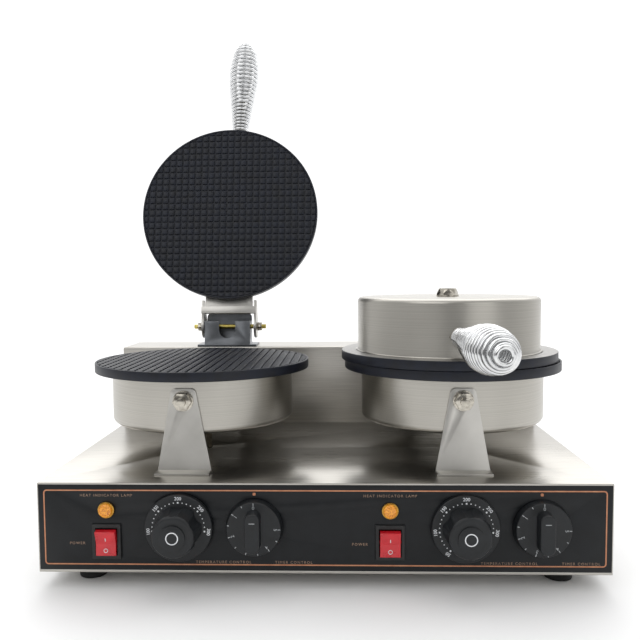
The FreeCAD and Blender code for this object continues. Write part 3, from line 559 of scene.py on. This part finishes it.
# %% Four plates from one
low_up, high_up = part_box("upper_plate_right")
upper_centre = (low_up + high_up) / 2
upper_plate = duplicate(lower_plate, "Waffle_plate_upper",
                        (upper_centre.x - plate_centre.x, 0, 0))
flip = (Matrix.Translation(upper_centre) @ Matrix.Rotation(math.pi, 4, "X")
        @ Matrix.Translation(-Vector((upper_centre.x, upper_centre.y, plate_top - plate_t / 2))))
upper_plate.data.transform(flip)
plates_up = lid_pair(upper_plate, "Waffle_plate_upper", coating, ["upper_plate"])
head_shift = Vector((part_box("lower_plate_left")[0].x - low.x, 0, 0))
lower_left = duplicate(lower_plate, "Waffle_plate_lower_left", head_shift)
fit_out(lower_plate, "base", coating, ["lower_plate_right"])
fit_out(lower_left, "base", coating, ["lower_plate_left"])
back_normal = {"right": Vector((0, 0, 1)), "left": swing.to_3x3() @ Vector((0, 0, 1))}
for plate, side in zip(plates_up, ("right", "left")):
    plate.data.materials.append(rim_ring)
    for face in plate.data.polygons:
        if face.normal.dot(back_normal[side]) > 0.99:
            face.material_index = 1


# %% [markdown]
# ## The spun housings
# A metal spinner presses a flat steel disc over a turning former, which gives a
# seamless cup with a rounded edge. A cylinder is a good start: its closed edge is
# bevelled, its open end is removed, and Solidify gives the sheet its thickness.


# %% A spun cup
def spun_cup(name, node, closed_end, edge_mm, foot_mm=0.0):
    """A thin round cup in a node's box; closed_end is 1 for the top, -1 for the bottom."""
    low_c, high_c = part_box(node)
    centre = (low_c + high_c) / 2
    radius = (high_c.x - low_c.x) / 2 - foot_mm * MM
    height = high_c.z - low_c.z
    closed = high_c.z if closed_end > 0 else low_c.z
    opened = low_c.z if closed_end > 0 else high_c.z
    bpy.ops.mesh.primitive_cylinder_add(vertices=160, radius=radius, depth=height, location=centre)
    cup = bpy.context.object
    cup.name = name
    bpy.ops.object.transform_apply(location=True, rotation=True, scale=True)
    edit(cup)
    pick_edges(cup, lambda a, b: abs(a.z - closed) < 1e-5 and abs(b.z - closed) < 1e-5)
    bpy.ops.mesh.bevel(offset=edge_mm * MM, segments=7)
    pick_faces(cup, lambda c, n: n.z * closed_end < -0.9)
    bpy.ops.mesh.delete(type="FACE")
    if foot_mm:
        pick_edges(cup, lambda a, b: abs(a.z - opened) < 1e-5 and abs(b.z - opened) < 1e-5)
        bpy.ops.mesh.bevel(offset=0, segments=1)
        bpy.ops.mesh.extrude_region_move()
        grow = (radius + foot_mm * MM) / radius
        bpy.ops.transform.resize(value=(grow, grow, 1), center_override=(centre.x, centre.y, opened))
        pick_edges(cup, lambda a, b: abs(a.z - opened) < 1e-5 and abs(b.z - opened) < 1e-5 and
                   abs((a - centre).to_2d().length - radius) < 1e-5 and
                   abs((b - centre).to_2d().length - radius) < 1e-5)
        bpy.ops.mesh.bevel(offset=1.2 * MM, segments=3)
    select_only(cup)
    apply_modifier(cup, "SOLIDIFY", thickness=1.0 * MM, offset=-1)
    return done(cup, 40), centre


housing, centre = spun_cup("Spun_housing_right", "lower_housing_right", -1, 5)
housing_left = duplicate(housing, "Spun_housing_left", head_shift)
fit_out(housing, "base", spun_steel("Spun_stainless_lower_right", centre, 0),
        ["lower_housing_right"])
fit_out(housing_left, "base", spun_steel("Spun_stainless_lower_left", centre + head_shift, 0),
        ["lower_housing_left"])
cap, centre = spun_cup("Spun_cap", "upper_cap_right", 1, 4.5, 2.6)
left_axis = swing @ (centre + lid_shift)
lid_pair(cap, "Spun_cap", spun_steel("Spun_stainless_cap_right", centre, 0),
         ["upper_cap"],
         spun_steel("Spun_stainless_cap_left", left_axis, math.degrees(open_angle)))
print("Housings and caps spun")

# %% [markdown]
# ## The coiled handles
# The grip is one long steel wire wound round a barrel-shaped former and chromed.
# It is tight at the neck, open over the belly so that air can cool it, and it
# closes to a small ring at the end. A smooth curve with a round bevel is the
# wire itself; a loop works out its turns from the barrel's outline.

# %% Barrel outline and winding
WIRE = 3.8 * MM
POINTS_PER_TURN = 14
TIGHT_PITCH = 4.0 * MM
OPEN_PITCH = 5.7 * MM
LEAN = math.radians(2.6)
spring_low, spring_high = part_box("handle_spring_right")
cap_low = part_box("upper_cap_right")[0]
NECK_START = 7.0 * MM
END_MARGIN = 0.8 * MM   # the leaning end ring reaches past its middle, so the wire stops short
grip_length = (spring_high.y - spring_low.y) / math.cos(LEAN) - WIRE - END_MARGIN
outline = [(0.0, 9.8), (0.16, 11.0), (0.42, 15.7), (0.68, 19.6), (0.9, 16.2), (0.97, 11.5), (1.0, 8.0)]


def barrel_radius(share):
    """Outer radius of the grip at a share of its length: a smooth line through the outline."""
    points = [outline[0]] + outline + [outline[-1]]
    for index in range(1, len(points) - 2):
        (s0, r0), (s1, r1), (s2, r2), (s3, r3) = points[index - 1:index + 3]
        if share <= s2:
            t = (share - s1) / (s2 - s1)
            slope1 = (r2 - r0) / (s2 - s0) * (s2 - s1)
            slope2 = (r3 - r1) / (s3 - s1) * (s2 - s1)
            radius = (r1 * (2 * t**3 - 3 * t**2 + 1) + slope1 * (t**3 - 2 * t**2 + t)
                      + r2 * (3 * t**2 - 2 * t**3) + slope2 * (t**3 - t**2))
            return radius * MM
    return outline[-1][1] * MM


def wound_points():
    """Places along the wire: it advances by a pitch that grows as the barrel widens."""
    points = []
    along = 0.0
    angle = 0.0
    while along < grip_length:
        radius = barrel_radius(along / grip_length) - WIRE / 2
        points.append((radius, along, angle))
        widest = max(r for _, r in outline) * MM
        swell = (radius + WIRE / 2 - outline[0][1] * MM) / (widest - outline[0][1] * MM)
        pitch = TIGHT_PITCH + (OPEN_PITCH - TIGHT_PITCH) * max(0.0, min(1.0, swell))
        along += pitch / POINTS_PER_TURN
        angle += 2 * math.pi / POINTS_PER_TURN
    for _ in range(POINTS_PER_TURN):
        points.append((outline[-1][1] * MM - WIRE / 2, grip_length, angle))
        angle += 2 * math.pi / POINTS_PER_TURN
    return points


# %% Wind one grip
def make_spring(name, root):
    """The wire as a smooth curve through its turns, made a mesh, for a closed lid."""
    places = wound_points()
    bpy.ops.object.select_all(action="DESELECT")
    curve = bpy.data.curves.new(name, "CURVE")
    curve.dimensions = "3D"
    spline = curve.splines.new("NURBS")
    spline.points.add(len(places) - 1)
    for point, (radius, along, angle) in zip(spline.points, places):
        y = root.y - NECK_START - WIRE / 2 - along
        point.co = (root.x + radius * math.cos(angle), y, root.z + radius * math.sin(angle), 1)
    spline.order_u = 3
    spline.use_endpoint_u = True
    spline.resolution_u = 3
    curve.bevel_depth = WIRE / 2
    curve.bevel_resolution = 2
    curve.use_fill_caps = True
    piece = bpy.data.objects.new(name, curve)
    bpy.context.scene.collection.objects.link(piece)
    select_only(piece)
    bpy.ops.object.convert(target="MESH")
    piece = bpy.context.object
    piece.data.transform(Matrix.Translation(root) @ Matrix.Rotation(LEAN, 4, "Z")
                         @ Matrix.Translation(-root))
    return done(piece, 60)


# %% Both grips
BELLY = 0.68
CAP_FOOT = 2.6 * MM
for side in SIDES:
    low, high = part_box("handle_spring_" + side)
    root_x = (low.x + high.x) / 2 - math.sin(LEAN) * (NECK_START + BELLY * grip_length)
    root = Vector((root_x, cap_low.y + CAP_FOOT, (spring_low.z + spring_high.z) / 2))
    spring = make_spring("Coiled_grip_" + side, root)
    if side == "left":
        spring.data.transform(swing)
    fit_out(spring, "lid_" + side, chrome, ["handle_spring_" + side])
print("Each grip has", round(len(wound_points()) / POINTS_PER_TURN), "turns")

# %% [markdown]
# ## Print and marks
# The fascia is screen-printed with a thin copper frame and short words, and the
# dials are pad-printed in white. Print is a film, so each mark is a real but very
# thin piece that stands just off the surface and rides with what it is printed on.

# %% Marks that lie flat on a front face
PRINT = 0.06 * MM
PRINT_GAP = 0.02 * MM


def front_place(x, y, z, turn=0.0, out=0.0):
    """Stand a flat shape up to face the front, turned clockwise about x, z and pushed out."""
    return (Matrix.Translation(Vector((x, y, z))) @ Matrix.Rotation(turn, 4, "Y")
            @ Matrix.Translation(Vector((0, 0, out))) @ Matrix.Rotation(math.pi / 2, 4, "X"))


def print_text(words, height_mm, place, bold=0.0, spacing=1.0):
    """A word as a thin mesh, its capitals so many millimetres high."""
    bpy.ops.object.text_add()
    text = bpy.context.object
    text.data.body = words
    text.data.size = height_mm * MM / 0.7
    text.data.space_character = spacing
    text.data.align_x = "CENTER"
    text.data.align_y = "CENTER"
    text.data.resolution_u = 3
    text.data.extrude = PRINT / 2
    text.data.offset = bold * MM
    bpy.ops.object.convert(target="MESH")
    mark = bpy.context.object
    mark.data.transform(place)
    return mark


def print_bar(width_mm, height_mm, place):
    """A small bar or dot as a thin mesh with trimmed corners."""
    bpy.ops.mesh.primitive_plane_add(size=1)
    mark = bpy.context.object
    mark.data.transform(Matrix.Diagonal((width_mm * MM, height_mm * MM, 1, 1)))
    edit(mark)
    bpy.ops.mesh.select_all(action="SELECT")
    bpy.ops.mesh.bevel(offset=min(width_mm, height_mm) * 0.3 * MM, segments=2, affect="VERTICES")
    bpy.ops.mesh.select_all(action="SELECT")
    bpy.ops.mesh.extrude_region_move(TRANSFORM_OT_translate={"value": (0, 0, PRINT)})
    select_only(mark)
    mark.data.transform(place)
    return mark


def print_ring(radius_mm, width_mm, place):
    """A thin printed ring."""
    bpy.ops.mesh.primitive_circle_add(vertices=40, radius=radius_mm * MM, fill_type="NGON")
    mark = bpy.context.object
    edit(mark)
    bpy.ops.mesh.select_all(action="SELECT")
    bpy.ops.mesh.inset(thickness=width_mm * MM)
    bpy.ops.mesh.delete(type="FACE")
    bpy.ops.mesh.select_all(action="SELECT")
    bpy.ops.mesh.extrude_region_move(TRANSFORM_OT_translate={"value": (0, 0, PRINT)})
    select_only(mark)
    mark.data.transform(place)
    return mark


def join_marks(marks, name, body, material):
    """Join all the marks of one print run and fit them out as one piece."""
    select_only(marks[0])
    for mark in marks[1:]:
        mark.select_set(True)
    bpy.context.view_layer.objects.active = marks[0]
    if len(marks) > 1:
        bpy.ops.object.join()
    piece = bpy.context.object
    piece.name = name
    edit(piece)
    bpy.ops.mesh.select_all(action="SELECT")
    bpy.ops.mesh.normals_make_consistent(inside=False)
    done(piece, 30)
    return fit_out(piece, body, material)


# %% The thermostat dials
DIAL_LABELS = [(50, -144), (100, -96), (150, -48), (200, 0), (250, 48), (300, 96)]
DIAL_STEP = 9.6         # degrees between dots
SKIRT = 5.0 * MM        # thickness of the dial skirt, behind the grip
for side in SIDES:
    low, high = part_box("thermostat_knob_" + side)
    skirt_y = high.y - SKIRT - PRINT_GAP
    x, z = (low.x + high.x) / 2, (low.z + high.z) / 2
    marks = []
    for degrees, angle in DIAL_LABELS:
        place = front_place(x, skirt_y, z, math.radians(angle), 26.3 * MM)
        marks.append(print_text(str(degrees), 2.9, place, 0.06))
    for step in range(26):
        angle = -144 + step * DIAL_STEP
        size = 1.5 if step % 5 == 0 else 0.95
        marks.append(print_bar(size, size, front_place(x, skirt_y, z, math.radians(angle), 22.9 * MM)))
    marks.append(print_ring(5.4, 0.9, front_place(x, low.y - PRINT_GAP, z)))
    join_marks(marks, "Dial_print_" + side, "thermostat_dial_" + side, print_white)
print("Thermostat dials printed")

# %% The timer dials
MINUTES = (0, None, 1, None, 2, None, 3, None, 4, None, 5)
TIMER_STEP = 27         # degrees between ticks
DISC = 7.0 * MM         # thickness of the plate, behind the finger bar
for side in SIDES:
    low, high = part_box("timer_knob_" + side)
    disc_y = high.y - DISC - PRINT_GAP
    x, z = (low.x + high.x) / 2, (low.z + high.z) / 2
    marks = []
    for step, minute in enumerate(MINUTES):
        angle = math.radians(-TIMER_STEP * step)
        long_tick = 2.2 if minute is not None else 1.7
        marks.append(print_bar(0.7, long_tick, front_place(x, disc_y, z, angle, 22.2 * MM)))
        if minute is not None:
            place = front_place(x, disc_y, z, angle, 18.9 * MM)
            marks.append(print_text(str(minute), 3.0, place, 0.04))
    marks.append(print_bar(5.0, 0.6, front_place(x, low.y - PRINT_GAP, z, 0, 9.5 * MM)))
    join_marks(marks, "Timer_print_" + side, "timer_dial_" + side, print_grey)
print("Timer dials printed")

# %% [markdown]
# The copper frame starts as one flat panel with rounded corners. An inset leaves
# only its border.

# %% The fascia print
low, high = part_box("front_fascia")
face_y = low.y - PRINT_GAP
middle = (low + high) / 2
INSET = 4.6 * MM
LINE = 1.1 * MM
bpy.ops.mesh.primitive_plane_add(size=1)
frame_line = bpy.context.object
frame_line.data.transform(Matrix.Diagonal((high.x - low.x - 2 * INSET, high.z - low.z - 2 * INSET, 1, 1)))
edit(frame_line)
bpy.ops.mesh.select_all(action="SELECT")
bpy.ops.mesh.bevel(offset=3 * MM, segments=5, affect="VERTICES")
bpy.ops.mesh.select_all(action="SELECT")
bpy.ops.mesh.inset(thickness=LINE)
bpy.ops.mesh.delete(type="FACE")
bpy.ops.mesh.select_all(action="SELECT")
bpy.ops.mesh.extrude_region_move(TRANSFORM_OT_translate={"value": (0, 0, PRINT)})
select_only(frame_line)
frame_line.data.transform(front_place(middle.x, face_y, middle.z))
marks = [frame_line]
for side in SIDES:
    low_t, high_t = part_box("timer_knob_" + side)
    x = (low_t.x + high_t.x) / 2
    marks.append(print_bar(2.6, 2.6, front_place(x, face_y, high.z - 8.2 * MM)))
join_marks(marks, "Fascia_frame_print", "base", print_copper)

# %% Plain words beside each control
labels = []
for side in SIDES:
    lamp_low, lamp_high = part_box("lamp_body_" + side)
    knob_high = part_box("thermostat_knob_" + side)[1]
    timer_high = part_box("timer_knob_" + side)[1]
    housing_low, housing_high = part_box("rocker_housing_" + side)
    lamp_x = (lamp_low.x + lamp_high.x) / 2
    rocker_mid = (housing_low.z + housing_high.z) / 2
    words = (("HEAT INDICATOR LAMP", lamp_x, lamp_high.z + 5.6 * MM),
             ("POWER", housing_low.x - 13.5 * MM, rocker_mid - 2.0 * MM),
             ("TEMPERATURE CONTROL", knob_high.x + 8.5 * MM, low.z + 7.4 * MM),
             ("TIMER CONTROL", timer_high.x + 9.0 * MM, low.z + 7.4 * MM))
    for word, x, z in words:
        labels.append(print_text(word, 2.3, front_place(x, face_y, z), 0.0, 1.35))
join_marks(labels, "Fascia_words_print", "base", print_label)
print("Fascia printed")

# %% [markdown]
# ## Lamps and rockers
# Each lamp is a moulded amber lens with a ring of facets that scatter its light.
# Each rocker carries a moulded I above an O, on its two sloping faces.

# %% Faceted lamp lenses
for side in SIDES:
    low_l, high_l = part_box("lamp_lens_" + side)
    centre = (low_l + high_l) / 2
    radius = (high_l.x - low_l.x) / 2
    bpy.ops.mesh.primitive_cylinder_add(vertices=24, radius=radius, depth=high_l.y - low_l.y,
                                        location=centre, rotation=(math.pi / 2, 0, 0))
    lens = bpy.context.object
    lens.name = "Amber_lens_" + side
    bpy.ops.object.transform_apply(location=True, rotation=True, scale=True)
    edit(lens)
    pick_edges(lens, lambda a, b: a.y < low_l.y + 1e-5 and b.y < low_l.y + 1e-5)
    bpy.ops.mesh.bevel(offset=1.6 * MM, segments=4)
    pick_faces(lens, lambda c, n: n.y < -0.98)
    bpy.ops.mesh.inset(thickness=0.9 * MM, depth=-0.3 * MM)
    bpy.ops.mesh.inset(thickness=0.8 * MM, depth=0.3 * MM)
    done(lens, 30)
    fit_out(lens, "base", lens_amber, ["lamp_lens_" + side])
print("Lenses made")

# %% Rocker marks
ROCKER_TILT = math.radians(8)
CROWN = 5.4 * MM        # how far the rocker's ends stand out
WAIST = 3.6 * MM        # and its middle
ROCKER_HALF = 11.2 * MM
PIVOT_DEPTH = 2 * MM
for side in SIDES:
    pivot = Vector(joints["rocker_pivot_" + side]["pos_m"])
    slope = math.atan2(CROWN - WAIST, ROCKER_HALF)
    turned = Matrix.Translation(pivot) @ Matrix.Rotation(ROCKER_TILT, 4, "X")
    marks = []
    for sign, up in ((1, 3.6 * MM), (-1, 6.4 * MM)):
        out = PIVOT_DEPTH + WAIST + up * math.tan(slope) + PRINT + PRINT_GAP
        place = (turned @ Matrix.Translation(Vector((0, -out, sign * up)))
                 @ Matrix.Rotation(sign * slope, 4, "X") @ Matrix.Rotation(math.pi / 2, 4, "X"))
        marks.append(print_bar(0.7, 3.2, place) if sign > 0 else print_ring(1.9, 0.5, place))
    join_marks(marks, "Rocker_marks_" + side, "power_rocker_" + side, print_white)
print("Rockers marked")

# %% [markdown]
# ## Floor, light and camera
# The machine stands on a pale floor in soft studio light. Polished steel shows
# its surroundings, so the room matters as much as the lamps: it is bright above
# and behind, and greyer in front, where the camera stands. A wide lamp at the back
# lifts the far floor, so that it meets the room without a line.

# %% Floor
bpy.ops.mesh.primitive_plane_add(size=12, location=(0, 0, 0))
floor = bpy.context.object
floor.name = "Floor"
pale, pale_shader = new_material("Pale_floor", "#f4f4f4", roughness=0.7)
place = add_node(pale, "ShaderNodeTexCoord")
cloud = add_node(pale, "ShaderNodeTexNoise", {"Scale": 0.6}, {"Vector": place.outputs["Object"]})
link(pale, add_ramp(pale, cloud.outputs["Fac"], "#f2f2f2", "#f7f7f7"), pale_shader.inputs["Base Color"])
floor.data.materials.append(pale)

# %% Room light
scene = bpy.context.scene
scene.view_settings.view_transform = "Standard"
world = bpy.data.worlds.new("Studio")
scene.world = world
world.use_nodes = True
room = world.node_tree.nodes
sky = room["Background"]
direction = room.new("ShaderNodeTexCoord")
facing = room.new("ShaderNodeVectorMath")
facing.operation = "DOT_PRODUCT"
facing.inputs[1].default_value = (0.0, 0.85, 0.5)
brightness = room.new("ShaderNodeMapRange")
brightness.inputs["From Min"].default_value = -0.7
brightness.inputs["From Max"].default_value = 0.75
brightness.inputs["To Min"].default_value = 0.18
brightness.inputs["To Max"].default_value = 1.15
world.node_tree.links.new(direction.outputs["Generated"], facing.inputs[0])
world.node_tree.links.new(facing.outputs["Value"], brightness.inputs["Value"])
world.node_tree.links.new(brightness.outputs["Result"], sky.inputs["Strength"])
sky.inputs["Color"].default_value = linear("#ffffff")


def softbox(name, place, target, width, height, power):
    """A rectangular soft light that faces a target."""
    bpy.ops.object.light_add(type="AREA", location=place)
    lamp = bpy.context.object
    lamp.name = name
    lamp.data.shape = "RECTANGLE"
    lamp.data.size = width
    lamp.data.size_y = height
    lamp.data.energy = power
    direction = Vector(target) - Vector(place)
    lamp.rotation_euler = direction.to_track_quat("-Z", "Y").to_euler()
    return lamp


softbox("Key_light", (-1.3, -2.2, 1.9), (0, 0, 0.2), 2.4, 2.0, 20)
softbox("Fill_light", (1.6, -2.3, 1.1), (0, 0, 0.2), 1.8, 1.8, 10)
softbox("Top_light", (0, 0.4, 2.0), (0, 0.1, 0.1), 2.4, 1.6, 12)
softbox("Backdrop_light", (0, 4.0, 3.0), (0, 4.0, 0), 8.0, 5.0, 150)

# %% Camera
camera_data = bpy.data.cameras.new("Camera")
camera = bpy.data.objects.new("Camera", camera_data)
bpy.context.scene.collection.objects.link(camera)
camera_data.sensor_width = 36
camera_data.lens = 39.25
fascia_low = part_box("front_fascia")[0]
camera.location = (0.0179, fascia_low.y - 0.5932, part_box("base_cover")[1].z + 0.1794)
camera.rotation_euler = [math.radians(v) for v in (86.354, 0.394, 1.767)]
bpy.context.scene.camera = camera
print("Camera", [round(v, 3) for v in camera.location])
